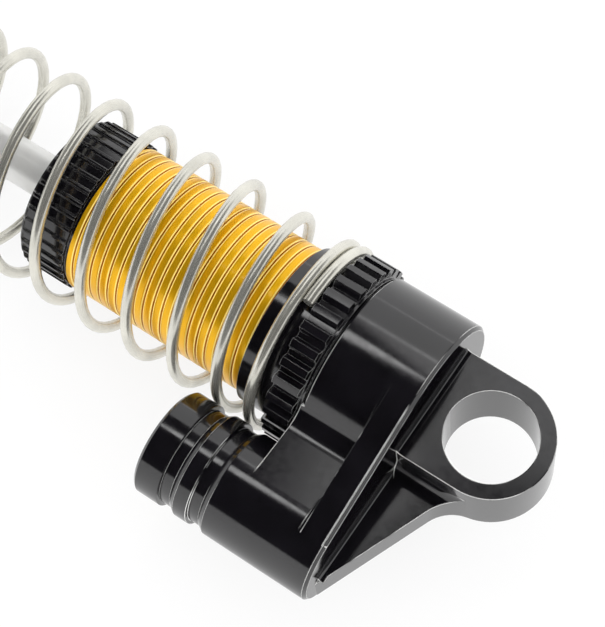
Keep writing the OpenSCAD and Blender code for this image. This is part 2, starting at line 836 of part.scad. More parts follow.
module pivot_ball() {
    color("#c4c4c0")
        translate([eye_to_ball, 0, 0])
            difference() {
                union() {
                    intersection() {
                        sphere(d = ball_d);
                        cube([ball_d + overcut, ball_d + overcut, ring_width + 2 * slack], center = true);
                    }
                    cylinder(d = ball_collar_d, h = ball_width, center = true);
                }
                cylinder(d = ball_bore_d, h = ball_width + 2 * overcut, center = true);
            }
}

housing();
threaded_body();
body_seal();
lower_cap();
rod_seal_upper();
seal_spacer_ring();
rod_seal_lower();
rod_guide();
reservoir_end_cap();
end_cap_seal();
floating_piston();
floating_piston_seal();
adjuster_nut();
nut_friction_ring();
main_spring();
rod();
piston();
piston_nut();
piston_washer();
bump_stop();
spring_cup();
rod_end();
pivot_ball();
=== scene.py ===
import json
import math
from functools import reduce
from typing import NamedTuple

import bmesh
import bpy
from bpy.props import FloatProperty, IntProperty, PointerProperty, StringProperty
from bpy.types import Operator, Panel, PropertyGroup
from mathutils import Matrix, Vector


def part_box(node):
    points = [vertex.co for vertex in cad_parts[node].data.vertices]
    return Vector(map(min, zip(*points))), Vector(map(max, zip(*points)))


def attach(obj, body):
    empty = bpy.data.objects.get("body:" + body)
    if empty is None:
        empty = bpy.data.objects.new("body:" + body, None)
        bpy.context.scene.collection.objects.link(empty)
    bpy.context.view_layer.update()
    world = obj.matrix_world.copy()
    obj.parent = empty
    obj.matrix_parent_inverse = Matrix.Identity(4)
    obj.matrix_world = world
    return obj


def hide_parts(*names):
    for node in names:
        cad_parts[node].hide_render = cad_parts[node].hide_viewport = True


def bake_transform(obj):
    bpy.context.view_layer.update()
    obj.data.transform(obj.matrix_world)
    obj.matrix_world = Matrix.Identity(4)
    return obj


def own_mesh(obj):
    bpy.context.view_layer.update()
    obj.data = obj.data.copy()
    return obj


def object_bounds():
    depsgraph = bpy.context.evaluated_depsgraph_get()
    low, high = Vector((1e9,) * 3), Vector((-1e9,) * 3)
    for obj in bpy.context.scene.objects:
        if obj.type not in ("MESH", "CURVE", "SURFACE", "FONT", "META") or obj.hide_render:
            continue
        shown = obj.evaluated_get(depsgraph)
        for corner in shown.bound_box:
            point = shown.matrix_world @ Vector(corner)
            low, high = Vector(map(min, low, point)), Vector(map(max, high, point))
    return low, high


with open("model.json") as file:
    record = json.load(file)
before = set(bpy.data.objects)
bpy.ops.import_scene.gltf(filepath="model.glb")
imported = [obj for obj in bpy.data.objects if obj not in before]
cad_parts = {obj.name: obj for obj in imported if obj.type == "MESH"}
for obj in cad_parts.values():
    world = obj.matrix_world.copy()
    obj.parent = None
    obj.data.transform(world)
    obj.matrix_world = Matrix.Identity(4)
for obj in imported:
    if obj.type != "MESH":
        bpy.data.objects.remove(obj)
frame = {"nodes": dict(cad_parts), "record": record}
CAD_BOX = [list(corner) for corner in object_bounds()]

bl_info = {
    "name": "Coil-over damper dressing",
    "version": (1, 0, 0),
    "blender": (4, 5, 0),
    "location": "View3D > Sidebar > Damper",
    "description": "Builds the surfaces, spring, thread, knurl and stage of a small coil-over damper",
    "category": "Object",
}

MM = 0.001
# Points closer than this are one point
WELD = 0.0005 * MM
# Edges sharper than this stay sharp under smooth shading
CREASE = math.radians(35)
# Mesh steps across a rounded edge
EDGE_STEPS = 2
# Slope of a thread crest's eased edge
EASED_SLOPE = 0.4
# Turns at each end of the spring that lie close together, and that stay upright on their seats
CLOSED_TURNS, UPRIGHT_TURNS = 1.0, 2.0
# Noise keeps mostly between these two values
NOISE_LOW, NOISE_HIGH = 0.3, 0.7
# Refractive indices
OXIDE_IOR, RUBBER_IOR, ACETAL_IOR, NYLON_IOR = 1.76, 1.52, 1.48, 1.53
# Cosines of the turns at which a rounded edge starts to take its pale colour, worn metal and partly a painted
# highlight, 10 degrees, and takes it fully, 22
RUB_AND_HIGHLIGHT_STARTS, RUB_AND_HIGHLIGHT_FULL = 0.985, 0.93
WHITE = (1.0, 1.0, 1.0, 1.0)

# Places along the damper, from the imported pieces
BOX = {name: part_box(name) for name in frame["nodes"]}
BODY_START = BOX["threaded_body"][0].x
THREAD_RADIUS = BOX["threaded_body"][1].y
CAP_START, CAP_END = BOX["lower_cap"][0].x, BOX["lower_cap"][1].x
CAP_RADIUS = BOX["lower_cap"][1].y
STUB_END = BOX["threaded_body"][1].x
NUT_START, NUT_END = BOX["adjuster_nut"][0].x, BOX["adjuster_nut"][1].x
NUT_RADIUS = BOX["adjuster_nut"][1].y
COIL_START, COIL_END = BOX["main_spring"][0].x, BOX["main_spring"][1].x
RESERVOIR_Y = (BOX["reservoir_end_cap"][0].y + BOX["reservoir_end_cap"][1].y) / 2
FLOOR_Z = CAD_BOX[0][2]
BODY_OF = {node: body for body, nodes in frame["record"]["behaviour"]["bodies"].items() for node in nodes}
SLOT_OF = {row["node"]: row["material_slot"] for row in frame["record"]["subparts"]}


def size(name, description, millimetres):
    """A length property, given in millimetres and held in metres."""
    return FloatProperty(
        name=name, description=description, default=millimetres * MM, unit="LENGTH", subtype="DISTANCE",
        precision=5)


def angle(name, description, degrees):
    """An angle property, given in degrees and held in radians."""
    return FloatProperty(
        name=name, description=description, default=math.radians(degrees), unit="ROTATION", subtype="ANGLE")


def share(name, description, value):
    """A plain number property."""
    return FloatProperty(name=name, description=description, default=value)


def count(name, description, value):
    """A whole number property."""
    return IntProperty(name=name, description=description, default=value)


def tint(name, description, value):
    """A colour property, held as the hex text a designer would write."""
    return StringProperty(name=name, description=description, default=value)


class ThreadSizes(PropertyGroup):
    """Sizes of the body's outside thread."""

    pitch: size("Pitch", "Distance from one crest to the next", 0.8)
    depth: size("Depth", "Depth of the groove between two crests", 0.12)
    mouth: size("Groove mouth", "Width of the groove between the crests' eased edges", 0.15)
    root: size("Groove root", "Width of the groove at its bottom", 0.05)
    edge: size("Crest edge", "Width of the eased edge of each crest", 0.09)
    runout: size("Run-out", "Length over which the groove fades at each end", 0.3)
    length: size("Threaded length", "Length of the body that carries the thread", 25)
    bore: size("Bore radius", "Radius of the oil bore", 4.6)
    pocket: size("Pocket radius", "Radius of the pocket for the rod's seals", 2.99)
    shoulder: size("Shoulder", "Thickness of the wall between the bore and the pocket", 0.8)
    segments: count("Segments", "Mesh segments round the body", 128)


class CoilSizes(PropertyGroup):
    """Sizes of the coil spring."""

    wire: size("Wire diameter", "Diameter of the spring wire", 0.87)
    radius: size("Coil radius", "Radius to the middle of the wire", 7.4)
    closed_pitch: size("Closed pitch", "Pitch of the closed turn at each end", 0.9)
    turns: share("Turns", "Number of turns from end to end", 12.5)
    ramp_turns: share("Ramp turns", "Turns over which the pitch opens", 0.4)
    start_angle: angle("Start angle", "Where the wire starts, from the reservoir's side", 90)
    split_turn: share("Split turn", "Turn at which the preloaded and the sprung length meet", 5.5)
    bulge: size("Bulge", "How much wider the open turns are than the closed ones", 0.2)
    lean: share("Lean", "Slope of the open turns, along the damper for each step off the reservoir", 0.07)
    steps: count("Steps per turn", "Mesh rings along one turn", 48)
    sides: count("Sides", "Mesh sides round the wire", 16)


class NutSizes(PropertyGroup):
    """Sizes of the preload nut."""

    teeth: count("Teeth", "Number of teeth round the flange", 32)
    notch: size("Notch depth", "Depth of the notches between the teeth", 0.6)
    collar: size("Collar radius", "Radius of the plain collar beside the housing", 6.9)
    collar_width: size("Collar width", "Width of the plain collar", 0.25)
    flange: size("Flange width", "Width of the toothed flange", 2.2)
    tip_share: share("Tooth tip", "Share of a tooth's pitch that its tip takes", 0.42)
    root_share: share("Tooth root", "Share of a tooth's pitch that its root takes", 0.68)
    hub: size("Hub radius", "Radius of the plain hub", 6.4)
    bore: size("Bore radius", "Radius of the bore over the thread", 6.04)
    edge: size("Edge radius", "Rounding of the teeth's edges", 0.1)


class KnurlSizes(PropertyGroup):
    """Sizes of the ribbed lower cap."""

    ribs: count("Ribs", "Number of ribs round the cap", 36)
    depth: size("Groove depth", "Depth of the grooves between the ribs", 0.2)
    tip_share: share("Rib tip", "Share of a rib's pitch that its tip takes", 0.22)
    root_share: share("Rib root", "Share of a rib's pitch that its root takes", 0.36)
    chamfer: size("Chamfer", "Chamfer at the end of the ribs", 0.35)
    collar: size("Collar width", "Width of the plain collar next to the body", 0.3)
    collar_step: size("Collar step", "Depth of the collar below the ribs", 0.45)
    stub: size("Stub radius", "Radius of the body's stub inside the cap", 5.3)
    wall: size("End wall", "Thickness of the cap's end wall", 1.4)
    rod_hole: size("Rod hole", "Radius of the hole for the rod", 1.87)
    edge: size("Edge radius", "Rounding of the ribs' edges", 0.06)


class PlateSizes(PropertyGroup):
    """Sizes of the flat-backed end plate between the housing's two cylinders."""

    end_face: size("End face", "Place of the housing's end face along the damper", 4.95)
    thickness: size("Thickness", "Thickness of the end plate", 2.05)
    inset: size("Inset", "Distance of the flat behind the end face, past its chamfer", 0.25)
    cover: size("Cover", "Height of the flat over the packed plate", 0.01)
    sink: size("Sink", "Depth at which the flat's ends lie inside the cylinders", 0.03)
    overlap: angle("Overlap", "How far the flat's ends reach round the cylinders", 6)
    wall: size("Wall", "Depth of the added metal inside the large cylinder", 1.9)
    lip: size("Lip", "Depth of the added metal inside the small cylinder", 0.35)
    foot: angle("Foot", "Where the added metal ends on the large cylinder, from the top", 54)


class EaseSizes(PropertyGroup):
    """Radii that break the edges of pieces that keep their CAD shape."""

    # The housing's and the teeth's radii also set the width of the pale edge colour, worn metal and partly a
    # painted highlight
    housing: size("Housing", "Edge radius of the housing", 0.12)
    teeth: size("Teeth and ribs", "Width of the rubbed edges of the nut's teeth and the cap's ribs", 0.05)
    end_cap: size("End cap", "Edge radius of the reservoir's end cap", 0.1)
    plastic: size("Plastic", "Edge radius of the spring cup and the rod end", 0.15)
    ball: size("Ball", "Edge radius of the ball's collars", 0.08)


class FinishColours(PropertyGroup):
    """Colours of the finishes, and how metallic they look."""

    black: tint("Black anodising", "Dyed oxide layer", "#0b0a0d")
    gold: tint("Gold anodising", "Dyed oxide layer over bright metal", "#fabd0a")
    # Paler colour on the crests' edges: a painted highlight
    gold_edge_highlight: tint("Gold edge", "Thin oxide on the edges of the thread's crests", "#ffe27a")
    # Darker colour at the bottom of the thread: painted shade
    gold_groove_shade: tint("Gold groove", "Oxide at the bottom of the thread", "#c88008")
    nickel: tint("Nickel", "Plated spring wire", "#e0ded4")
    chrome: tint("Chrome", "Ground and plated rod", "#e2e2e0")
    aluminium: tint("Aluminium", "Plain turned metal", "#c9cacb")
    bare_and_highlighted: tint("Bare aluminium", "Rubbed edges of the black pieces", "#e8e8e6")
    # Pale colour of the black pieces' edges: worn metal, and partly a painted edge highlight
    zinc: tint("Zinc", "Plated small steel parts", "#b4b8ba")
    rubber: tint("Rubber", "Moulded nitrile rubber", "#17171a")
    acetal: tint("Acetal", "Machined white plastic", "#e9e6dd")
    nylon: tint("Nylon", "Moulded black plastic", "#111114")
    paper: tint("Paper", "Matt white backdrop", "#dcdcdc")
    gold_metal: share("Gold's metal", "Share of the gold finish's light that metal reflects", 0.72)
    # Less metal on the crests' edges, so that the painted highlight shows brighter
    gold_highlight_metal_loss: share("Gold edge's loss", "How much less that share is on the crests' edges", 0.5)
    # Metal share of that pale edge colour, which is worn metal and partly a painted highlight
    bare_and_highlighted_metal: share("Bare metal", "Share of a rubbed edge's light that metal reflects", 0.35)
    wire_metal: share("Wire's metal", "Share of the spring wire's light that metal reflects", 0.86)
    rod_metal: share("Rod's metal", "Share of the rod's light that metal reflects", 0.6)


class StageSizes(PropertyGroup):
    """Camera, floor and lamps."""

    azimuth: angle("Azimuth", "Camera direction round the damper", 225.153)
    elevation: angle("Elevation", "Camera height above the horizon", 67.405)
    roll: angle("Roll", "Turn of the camera about its own axis", -11.527)
    distance: size("Distance", "From the camera to its target", 143.732)
    target_x: size("Target X", "Point looked at, along the damper", 17.106)
    target_y: size("Target Y", "Point looked at, towards the reservoir", -1.32)
    lens: share("Lens", "Focal length, in millimetres", 116.84)
    sensor: share("Sensor", "Width of the camera's sensor, in millimetres", 36)
    nearest: size("Nearest", "Closest distance that the camera shows", 10)
    floor_radius: size("Floor radius", "Flat part of the round backdrop", 900)
    wall_height: size("Wall height", "Height of the backdrop's wall", 370)
    cove_radius: size("Cove radius", "Curve from the floor to the wall", 300)
    cove_steps: count("Cove steps", "Mesh steps along that curve", 12)
    segments: count("Segments", "Mesh segments round the backdrop", 96)
    paper_lift: share("Paper lift", "Share of plain white that the camera sees on the floor", 0.85)
    room_light: share("Room light", "Radiance of the room on matt surfaces", 1.8)


PROPERTY_GROUPS = {
    "plate": PlateSizes, "thread": ThreadSizes, "coil": CoilSizes, "nut": NutSizes, "knurl": KnurlSizes,
    "ease": EaseSizes, "finish": FinishColours, "stage": StageSizes,
}


class DamperSettings(PropertyGroup):
    """Everything a user may change about the damper's dressing."""

    plate: PointerProperty(type=PlateSizes)
    thread: PointerProperty(type=ThreadSizes)
    coil: PointerProperty(type=CoilSizes)
    nut: PointerProperty(type=NutSizes)
    knurl: PointerProperty(type=KnurlSizes)
    ease: PointerProperty(type=EaseSizes)
    finish: PointerProperty(type=FinishColours)
    stage: PointerProperty(type=StageSizes)


def settings():
    """The damper's settings on the open scene."""
    return bpy.context.scene.damper


# Nodes and colours

def linear(hex_text):
    """Turn an sRGB hex colour into the linear colour that shaders take."""
    channels = [int(hex_text[i:i + 2], 16) / 255 for i in (1, 3, 5)]
    return [c / 12.92 if c <= 0.04045 else ((c + 0.055) / 1.055) ** 2.4 for c in channels] + [1.0]


def add_node(tree, kind, inputs=None, **options):
    """Add one node, set its options, and fill or link its inputs; returns the node."""
    node = tree.nodes.new(kind)
    for name, value in options.items():
        setattr(node, name, value)
    for key, value in (inputs or {}).items():
        if isinstance(value, bpy.types.Node):
            value = next(socket for socket in value.outputs if socket.enabled)
        if isinstance(value, bpy.types.NodeSocket):
            tree.links.new(value, node.inputs[key])
        else:
            node.inputs[key].default_value = value
    return node


def math_of(tree, operation, *values, clamp=False):
    """One math operation on a single value, or carried along a chain of numbers and sockets."""
    def work_out(*inputs):
        return add_node(
            tree, "ShaderNodeMath", dict(enumerate(inputs)), operation=operation, use_clamp=clamp).outputs[0]

    return reduce(work_out, values) if len(values) > 1 else work_out(*values)


# Shader patterns

class Mottle(NamedTuple):
    """How a quality wanders over a surface: the size of its patches, in metres, and its two ends."""

    grain: float
    low: float = 0.0
    high: float = 1.0


def new_finish(name, **inputs):
    """Start a material; the named inputs are set on the shader's own sockets."""
    material = bpy.data.materials.new(name)
    material.use_nodes = True
    tree = material.node_tree
    shader = tree.nodes["Principled BSDF"]
    for key, value in inputs.items():
        shader.inputs[key.replace("_", " ")].default_value = value
    return material, tree, shader


def mottled(tree, place, mottle, detail=3.0):
    """The socket of a number that wanders as a mottle says."""
    noise = add_node(tree, "ShaderNodeTexNoise", {
        "Vector": place, "Scale": 1 / mottle.grain, "Detail": detail})
    return add_node(tree, "ShaderNodeMapRange", {
        "Value": noise.outputs[0], "From Min": NOISE_LOW, "From Max": NOISE_HIGH,
        "To Min": mottle.low, "To Max": mottle.high}).outputs[0]


def along_and_out(tree, place, axis_y=0.0):
    """The sockets of a point's place along X and of its distance from an axis along X."""
    split = add_node(tree, "ShaderNodeSeparateXYZ", {0: place})
    across = math_of(tree, "SUBTRACT", split.outputs["Y"], axis_y)
    flat = add_node(tree, "ShaderNodeCombineXYZ", {"X": across, "Y": split.outputs["Z"]})
    radius = add_node(tree, "ShaderNodeVectorMath", {0: flat}, operation="LENGTH").outputs["Value"]
    return split.outputs["X"], radius


def turning_lines(tree, place, spacing, axis_y=0.0):
    """Fine lines left by a lathe round an axis along X, as a number about 0.5."""
    along, radius = along_and_out(tree, place, axis_y)
    section = add_node(tree, "ShaderNodeCombineXYZ", {"X": along, "Y": radius})
    return add_node(tree, "ShaderNodeTexNoise", {"Vector": section, "Scale": 1 / spacing, "Detail": 2.0})


def bump(tree, shader, height, depth):
    """Raise a shader's surface by a pattern whose full height is depth, in metres."""
    node = add_node(tree, "ShaderNodeBump", {"Height": height, "Distance": depth, "Strength": 1.0})
    tree.links.new(node.outputs["Normal"], shader.inputs["Normal"])


def two_tone(tree, factor, dark, light):
    """Blend between two linear colours or colour sockets."""
    return add_node(tree, "ShaderNodeMix", {0: factor, 6: dark, 7: light}, data_type="RGBA").outputs[2]


def shade(colour, amount):
    """A linear colour made lighter or darker."""
    return [min(1.0, c * amount) for c in colour[:3]] + [1.0]


def clothe(tree, shader, hex_text, tone, rough=None):
    """Let a colour and the roughness wander over the surface; returns the place's and the colour's socket."""
    place = add_node(tree, "ShaderNodeTexCoord").outputs["Object"]
    colour = linear(hex_text)
    patches = mottled(tree, place, Mottle(tone.grain))
    wandering = two_tone(tree, patches, shade(colour, tone.low), shade(colour, tone.high))
    tree.links.new(wandering, shader.inputs["Base Color"])
    if rough:
        tree.links.new(mottled(tree, place, rough), shader.inputs["Roughness"])
    return place, wandering


# Finishes

def black_anodised(name, axis_y=None, edge=0.0):
    """Aluminium with a dyed oxide layer: near-black below a clear gloss, ringed where it was turned."""
    # Aluminium oxide's refractive index gives the grey sheen over the dye
    material, tree, shader = new_finish(name, IOR=OXIDE_IOR)
    hue = settings().finish
    place, dyed = clothe(
        tree, shader, hue.black, tone=Mottle(3 * MM, 0.7, 1.5), rough=Mottle(0.5 * MM, 0.1, 0.15))
    if edge:
        # A tumbled edge catches the lamps as a thin line; in patches its colour is also lightened to plain
        # metal, partly wear and partly a painted edge highlight
        eased = add_node(tree, "ShaderNodeBevel", {"Radius": edge}, samples=8).outputs[0]
        tree.links.new(eased, shader.inputs["Normal"])
        flat = add_node(tree, "ShaderNodeNewGeometry").outputs["Normal"]
        turned_away = add_node(
            tree, "ShaderNodeVectorMath", {0: eased, 1: flat}, operation="DOT_PRODUCT").outputs["Value"]
        at_edge = add_node(tree, "ShaderNodeMapRange", {
            "Value": turned_away, "From Min": RUB_AND_HIGHLIGHT_STARTS, "From Max": RUB_AND_HIGHLIGHT_FULL})
        rubbed_and_highlighted = add_node(tree, "ShaderNodeMapRange", {
            "Value": mottled(tree, place, Mottle(5 * MM)), "From Min": 0.2, "From Max": 0.45})
        bare_and_highlighted = math_of(tree, "MULTIPLY", at_edge, rubbed_and_highlighted)
        tree.links.new(two_tone(tree, bare_and_highlighted, dyed, linear(hue.bare_and_highlighted)), shader.inputs["Base Color"])
        tree.links.new(math_of(tree, "MULTIPLY", bare_and_highlighted, hue.bare_and_highlighted_metal), shader.inputs["Metallic"])
    if axis_y is not None:
        # Lathe feed is about 0.05 mm; the lines are drawn at 0.12 mm so that they show
        bump(tree, shader, turning_lines(tree, place, 0.12 * MM, axis_y), 0.0005 * MM)
    return material


def gold_anodised():
    """Turned aluminium, etched and dyed gold: satin, with a painted highlight on the crests' edges and
    painted shade in the groove.
    """
    material, tree, shader = new_finish(
        "gold_anodised_aluminium", Coat_Weight=0.15, Coat_Roughness=0.08, Coat_IOR=OXIDE_IOR)
    hue = settings().finish
    place, even = clothe(
        tree, shader, hue.gold, tone=Mottle(2.5 * MM, 0.94, 1.03), rough=Mottle(1.2 * MM, 0.3, 0.36))
    # Painted highlight: the crests' edges are paler; painted shade: the bottom of the groove is darker
    radius = along_and_out(tree, place)[1]
    sunk = math_of(tree, "DIVIDE", math_of(tree, "SUBTRACT", THREAD_RADIUS, radius), settings().thread.depth)
    edge_highlight_mask = add_node(tree, "ShaderNodeMapRange", {"Value": sunk, "From Min": 0.03, "From Max": 0.07})
    groove_shade_mask = add_node(tree, "ShaderNodeMapRange", {"Value": sunk, "From Min": 0.36, "From Max": 0.55})
    eased = two_tone(tree, edge_highlight_mask, even, linear(hue.gold_edge_highlight))
    groove_shaded = two_tone(tree, groove_shade_mask, eased, linear(hue.gold_groove_shade))
    tree.links.new(groove_shaded, shader.inputs["Base Color"])
    # The crests' edges are made less metallic, so that their pale painted colour stands out as bright lines,
    # a painted highlight
    highlight_band = math_of(tree, "SUBTRACT", edge_highlight_mask, groove_shade_mask, clamp=True)
    loss = math_of(tree, "MULTIPLY", highlight_band, hue.gold_highlight_metal_loss)
    tree.links.new(math_of(tree, "SUBTRACT", hue.gold_metal, loss), shader.inputs["Metallic"])
    return material


def nickel_wire():
    """Drawn steel wire with satin nickel plate: a soft sheen, with die lines along the wire."""
    hue = settings().finish
    material, tree, shader = new_finish("nickel_plated_spring_steel", Metallic=hue.wire_metal)
    clothe(tree, shader, hue.nickel, tone=Mottle(2 * MM, 0.88, 1.08))
    along = add_node(tree, "ShaderNodeAttribute", attribute_name="wire_length").outputs["Fac"]
    around = add_node(tree, "ShaderNodeAttribute", attribute_name="wire_round").outputs["Fac"]
    # Die lines: about 40 round the wire, each some 6 mm long
    die = add_node(tree, "ShaderNodeCombineXYZ", {
        "X": math_of(tree, "MULTIPLY", along, 1 / (6 * MM)), "Y": math_of(tree, "MULTIPLY", around, 40.0)})
    lines = add_node(tree, "ShaderNodeTexNoise", {"Vector": die, "Scale": 1.0, "Detail": 2.0})
    rough = add_node(tree, "ShaderNodeMapRange", {"Value": lines, "To Min": 0.23, "To Max": 0.3})
    tree.links.new(rough.outputs[0], shader.inputs["Roughness"])
    bump(tree, shader, lines, 0.0005 * MM)
    return material


def ground_chrome():
    """Centreless ground rod with hard chrome: satin, with fine rings that blur what it mirrors."""
    hue = settings().finish
    material, tree, shader = new_finish("hard_chromed_steel", Metallic=hue.rod_metal)
    place, _ = clothe(
        tree, shader, hue.chrome, tone=Mottle(4 * MM, 0.95, 1.05), rough=Mottle(2 * MM, 0.3, 0.36))
    bump(tree, shader, turning_lines(tree, place, 0.1 * MM), 0.00015 * MM)
    return material


def turned_metal(name, hex_text, low, high):
    """Plain turned or plated metal: satin, with rings from the tool."""
    material, tree, shader = new_finish(name, Metallic=1.0)
    place, _ = clothe(
        tree, shader, hex_text, tone=Mottle(1.5 * MM, 0.85, 1.05), rough=Mottle(0.3 * MM, low, high))
    bump(tree, shader, turning_lines(tree, place, 0.15 * MM), 0.002 * MM)
    return material


def moulded(name, hex_text, ior, low, high, grain, relief):
    """Moulded rubber or plastic: an even skin with a fine grain of a given size and depth."""
    material, tree, shader = new_finish(name, IOR=ior)
    place, _ = clothe(
        tree, shader, hex_text, tone=Mottle(2.5 * MM, 0.85, 1.15), rough=Mottle(0.6 * MM, low, high))
    bump(tree, shader, mottled(tree, place, Mottle(grain), detail=4.0), relief)
    return material


def make_finishes():
    """Every finish, under the name of the record's material slot."""
    hue = settings().finish
    return {
        "black_anodised": black_anodised("milled_black_anodised_aluminium", edge=settings().ease.housing),
        "gold_anodised": gold_anodised(),
        "spring_steel": nickel_wire(),
        "polished_steel": ground_chrome(),
        "plain_aluminium": turned_metal("turned_aluminium", hue.aluminium, low=0.28, high=0.4),
        "zinc_steel": turned_metal("zinc_plated_steel", hue.zinc, low=0.32, high=0.45),
        "seal_rubber": moulded(
            "nitrile_rubber", hue.rubber, RUBBER_IOR, low=0.45, high=0.6, grain=0.12 * MM, relief=0.004 * MM),
        "white_plastic": moulded(
            "machined_acetal", hue.acetal, ACETAL_IOR, low=0.35, high=0.5, grain=0.2 * MM, relief=0.002 * MM),
        "black_plastic": moulded(
            "moulded_nylon", hue.nylon, NYLON_IOR, low=0.3, high=0.42, grain=0.15 * MM, relief=0.004 * MM),
    }


# Meshes

def new_piece(name, mesh):
    """Put a mesh in the scene as an object at the origin."""
    piece = bpy.data.objects.new(name, mesh)
    bpy.context.scene.collection.objects.link(piece)
    return piece


def mesh_from(name, work):
    """Turn a bmesh into a mesh as it is."""
    mesh = bpy.data.meshes.new(name)
    work.to_mesh(mesh)
    work.free()
    return mesh


def closed_mesh(name, work):
    """Weld a bmesh and turn it into a mesh with its normals outwards."""
    bmesh.ops.remove_doubles(work, verts=work.verts, dist=WELD)
    bmesh.ops.recalc_face_normals(work, faces=work.faces)
    return mesh_from(name, work)


def welded_copy(name, node):
    """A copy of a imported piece's mesh, with its loose triangles joined."""
    work = bmesh.new()
    work.from_mesh(frame["nodes"][node].data)
    return new_piece(name, closed_mesh(name, work))


def baked(piece):
    """Apply a piece's modifiers to its mesh."""
    depsgraph = bpy.context.evaluated_depsgraph_get()
    mesh = bpy.data.meshes.new_from_object(piece.evaluated_get(depsgraph), depsgraph=depsgraph)
    piece.modifiers.clear()
    piece.data = mesh


def grid_faces(work, rows, closed_rows=False, closed_columns=False):
    """Join rows of vertices with faces, and close the grid where asked."""
    row_pairs = list(zip(rows, rows[1:])) + ([(rows[-1], rows[0])] if closed_rows else [])
    for low, high in row_pairs:
        last = len(low) if closed_columns else len(low) - 1
        for i in range(last):
            j = (i + 1) % len(low)
            work.faces.new((low[i], low[j], high[j], high[i]))


def turned(points, segments, upright=False):
    """Turn points given as (place along the axis, radius) about X, or about Z where upright."""
    work = bmesh.new()
    angles = [2 * math.pi * i / segments for i in range(segments)]
    rows = []
    for along, r in points:
        legs = [(r * math.cos(a), r * math.sin(a)) for a in angles]
        rows.append([work.verts.new((u, v, along) if upright else (along, u, v)) for u, v in legs])
    grid_faces(work, rows, closed_columns=True)
    return work


def sector(name, profile, columns):
    """One sector of a ring about X.

    The profile's rows are (place along X, radius, share of the notch), and the columns (angle, notch).
    """
    work = bmesh.new()
    rows = []
    for x, outer, part in profile:
        polar = [(outer - part * notch, a) for a, notch in columns]
        rows.append([work.verts.new((x, r * math.cos(a), r * math.sin(a))) for r, a in polar])
    grid_faces(work, rows, closed_rows=True)
    return mesh_from(name, work)


def tooth(count, tip_share, root_share, depth, *middle):
    """Columns of one sector for the given number round: half a notch on both sides of a tooth."""
    half = math.pi / count
    tip, root = half * tip_share, half * root_share
    return [(-half, depth), (-root, depth), (-tip, 0.0), *middle, (tip, 0.0), (root, depth), (half, depth)]


def finish_piece(piece, body, slot, *nodes):
    """Shade a piece, let it ride on its body and hide the CAD nodes it stands for."""
    piece.data.shade_smooth()
    piece.data.set_sharp_from_angle(angle=CREASE)
    if body:
        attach(piece, body)
    if nodes:
        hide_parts(*nodes)


def round_edges(piece, radius):
    """Round the sharp edges of a piece."""
    modifier = piece.modifiers.new("rounded_edges", "BEVEL")
    modifier.width = radius
    modifier.segments = EDGE_STEPS
    modifier.limit_method = "ANGLE"
    modifier.angle_limit = CREASE
    even_faces(piece)


def even_faces(piece):
    """Keep flat faces flat under smooth shading."""
    weighted = piece.modifiers.new("flat_faces_stay_flat", "WEIGHTED_NORMAL")
    weighted.mode = "FACE_AREA_WITH_ANGLE"
    weighted.keep_sharp = True


# Geometry trees

def new_tree(name, inputs):
    """Start a geometry tree with named inputs; returns it with its input node."""
    tree = bpy.data.node_groups.new(name, "GeometryNodeTree")
    tree.interface.new_socket("Geometry", in_out="INPUT", socket_type="NodeSocketGeometry")
    for label, value in inputs.items():
        kind = {int: "NodeSocketInt", float: "NodeSocketFloat"}.get(type(value), "NodeSocketMaterial")
        tree.interface.new_socket(label, in_out="INPUT", socket_type=kind)
    tree.interface.new_socket("Geometry", in_out="OUTPUT", socket_type="NodeSocketGeometry")
    return tree, tree.nodes.new("NodeGroupInput")


def end_tree(tree, given, geometry):
    """Finish a tree: realize what is instanced, weld it and set its material."""
    real = add_node(tree, "GeometryNodeRealizeInstances", {0: geometry})
    welded = add_node(tree, "GeometryNodeMergeByDistance", {"Geometry": real, "Distance": WELD})
    clothed = add_node(tree, "GeometryNodeSetMaterial", {
        "Geometry": welded, "Material": given.outputs["Material"]})
    add_node(tree, "NodeGroupOutput", {0: clothed})


def grown(name, mesh, build, values):
    """Run a geometry tree on a mesh and keep the result as a plain mesh object."""
    tree, given = new_tree(name + "_tree", values)
    end_tree(tree, given, build(tree, given))
    piece = new_piece(name, mesh)
    modifier = piece.modifiers.new(name, "NODES")
    modifier.node_group = tree
    for item in tree.interface.items_tree:
        if item.in_out == "INPUT" and item.name in values:
            modifier[item.identifier] = values[item.name]
    baked(piece)
    return piece


def on_circle(tree, x, radius, turn):
    """The point at a place along X, a radius and an angle."""
    return add_node(tree, "ShaderNodeCombineXYZ", {
        "X": x,
        "Y": math_of(tree, "MULTIPLY", radius, math_of(tree, "COSINE", turn)),
        "Z": math_of(tree, "MULTIPLY", radius, math_of(tree, "SINE", turn))})


def ring_of_sectors(tree, given):
    """Repeat the sector round the X axis."""
    sectors = given.outputs["Count"]
    points = add_node(tree, "GeometryNodeMeshLine", {"Count": sectors, "Offset": (0.0, 0.0, 0.0)})
    index = add_node(tree, "GeometryNodeInputIndex").outputs[0]
    step = math_of(tree, "DIVIDE", 2 * math.pi, sectors)
    spin = add_node(tree, "ShaderNodeCombineXYZ", {"X": math_of(tree, "MULTIPLY", index, step)})
    return add_node(tree, "GeometryNodeInstanceOnPoints", {
        "Points": points, "Instance": given.outputs["Geometry"], "Rotation": spin})


def toothed_ring(name, node, count, profile, columns, edge):
    """A piece made of equal sectors round the X axis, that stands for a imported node."""
    piece = grown(name, sector(name + "_sector", profile, columns), ring_of_sectors, {
        "Count": count, "Material": finish_of(node)})
    round_edges(piece, edge)
    finish_piece(piece, BODY_OF[node], SLOT_OF[node], node)


